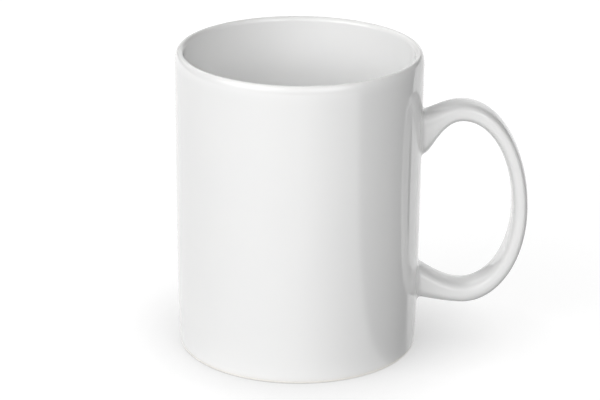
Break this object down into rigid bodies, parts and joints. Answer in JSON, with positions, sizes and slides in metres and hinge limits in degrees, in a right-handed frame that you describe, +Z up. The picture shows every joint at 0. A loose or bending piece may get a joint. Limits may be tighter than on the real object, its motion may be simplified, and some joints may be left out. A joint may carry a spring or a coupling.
{
  "type": "ceramic mug",
  "caption": "Straight-sided white glazed ceramic mug with a thin loop handle, a rounded lip and an unglazed foot ring.",
  "frame": {"origin": "under the middle of the whole mug, handle included, on the table plane", "axes": "+Z up; +X from the cup towards the handle; +Y across the handle, to its left as +X points away"},
  "size_m": [0.1178, 0.082, 0.102],
  "materials": {
    "clay": "bare fired white clay, matte and slightly rough; seen only on the foot ring",
    "slip": "fired slip of the same clay, matte, wholly under the glaze",
    "glaze": "clear-surfaced white glaze, high gloss, very slightly uneven"
  },
  "bodies": {
    "root": {"cup_body": "clay", "cup_glaze": "glaze", "base_glaze": "glaze", "handle": "clay", "upper_slip_joint": "slip", "lower_slip_joint": "slip", "handle_glaze": "glaze"}
  },
  "joints": []
}
